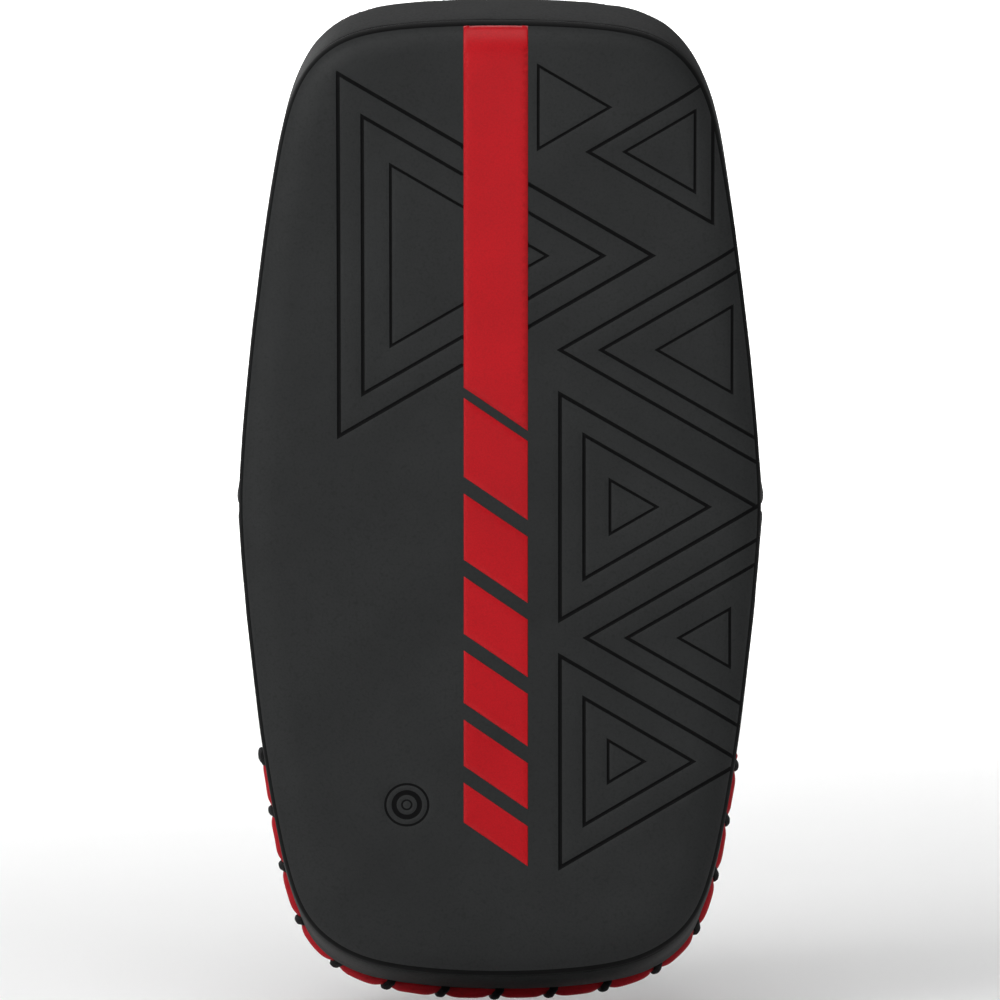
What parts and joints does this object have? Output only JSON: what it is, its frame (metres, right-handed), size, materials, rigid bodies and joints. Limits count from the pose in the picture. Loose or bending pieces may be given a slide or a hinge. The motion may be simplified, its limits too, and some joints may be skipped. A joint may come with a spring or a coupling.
{
  "type": "thai_pad",
  "caption": "Curved Thai kick pad: padded striking shield with laced elbow edge, hand grip, forearm cushion and two hook-and-loop ring straps",
  "frame": {"origin": "middle of the hand grip, on its axis (the part is held up by this grip)", "axes": "+X across the pad to the right seen from the striking face, +Y from the striking face to the strap side, +Z along the pad to the hand end"},
  "size_m": [0.2054, 0.1633, 0.4054],
  "materials": {
    "charcoal_leather": "satin",
    "black_leather": "satin",
    "red_leather": "satin",
    "red_film": "satin",
    "dense_foam": "matte",
    "white_foam": "matte",
    "soft_foam": "matte",
    "hard_sheet": "matte",
    "black_cord": "matte",
    "black_webbing": "matte",
    "fleece": "matte",
    "hook_tape": "matte",
    "steel": "polished"
  },
  "bodies": {
    "pad": {"face_cover": "charcoal_leather", "upper_gusset": "black_leather", "lower_gusset": "black_leather", "back_panel": "black_leather", "stripe_film": "red_film", "foam_strike_layer": "dense_foam", "foam_spreader_sheet": "hard_sheet", "foam_core_layer": "white_foam", "foam_rear_layer": "dense_foam", "edge_piping": "red_leather", "edge_lace": "black_cord", "forearm_cushion_cover": "black_leather", "forearm_cushion_foam": "soft_foam", "hand_cushion_cover": "black_leather", "hand_cushion_foam": "soft_foam", "handle_ear_left": "black_leather", "handle_ear_right": "black_leather", "handle_rod": "steel", "handle_end_caps": "steel", "handle_rivets": "steel", "handle_backing_plates": "hard_sheet", "strap_upper_web": "black_webbing", "strap_upper_loop_patch": "fleece", "strap_upper_lining": "black_leather", "strap_upper_web_anchor": "black_leather", "strap_upper_ring_tab": "black_webbing", "strap_upper_ring_anchor": "black_leather", "strap_lower_web": "black_webbing", "strap_lower_loop_patch": "fleece", "strap_lower_lining": "black_leather", "strap_lower_web_anchor": "black_leather", "strap_lower_ring_tab": "black_webbing", "strap_lower_ring_anchor": "black_leather"},
    "grip": {"grip_foam": "dense_foam", "grip_cover": "black_leather"},
    "ring_upper": {"strap_upper_ring": "steel"},
    "ring_lower": {"strap_lower_ring": "steel"},
    "tail_upper": {"strap_upper_tail": "black_webbing", "strap_upper_hook_patch": "hook_tape", "strap_upper_pull_tab": "red_leather"},
    "tail_lower": {"strap_lower_tail": "black_webbing", "strap_lower_hook_patch": "hook_tape", "strap_lower_pull_tab": "red_leather"}
  },
  "joints": [
    {"name": "grip_turn", "type": "hinge", "parent": "pad", "child": "grip", "pos_m": [0, 0, 0], "axis": [1, 0, 0], "continuous": true},
    {"name": "ring_upper_swing", "type": "hinge", "parent": "pad", "child": "ring_upper", "pos_m": [0.068, -0.04117, -0.0937], "axis": [0, 0.0285, -0.9996], "range_deg": [0, 55]},
    {"name": "tail_upper_peel", "type": "hinge", "parent": "ring_upper", "child": "tail_upper", "pos_m": [0.0645, -0.01798, -0.09304], "axis": [0, 0.0285, -0.9996], "range_deg": [0, 95]},
    {"name": "ring_lower_swing", "type": "hinge", "parent": "pad", "child": "ring_lower", "pos_m": [0.068, -0.04269, -0.18809], "axis": [0, -0.0608, -0.9982], "range_deg": [0, 55]},
    {"name": "tail_lower_peel", "type": "hinge", "parent": "ring_lower", "child": "tail_lower", "pos_m": [0.0645, -0.01954, -0.1895], "axis": [0, -0.0608, -0.9982], "range_deg": [0, 95]}
  ]
}
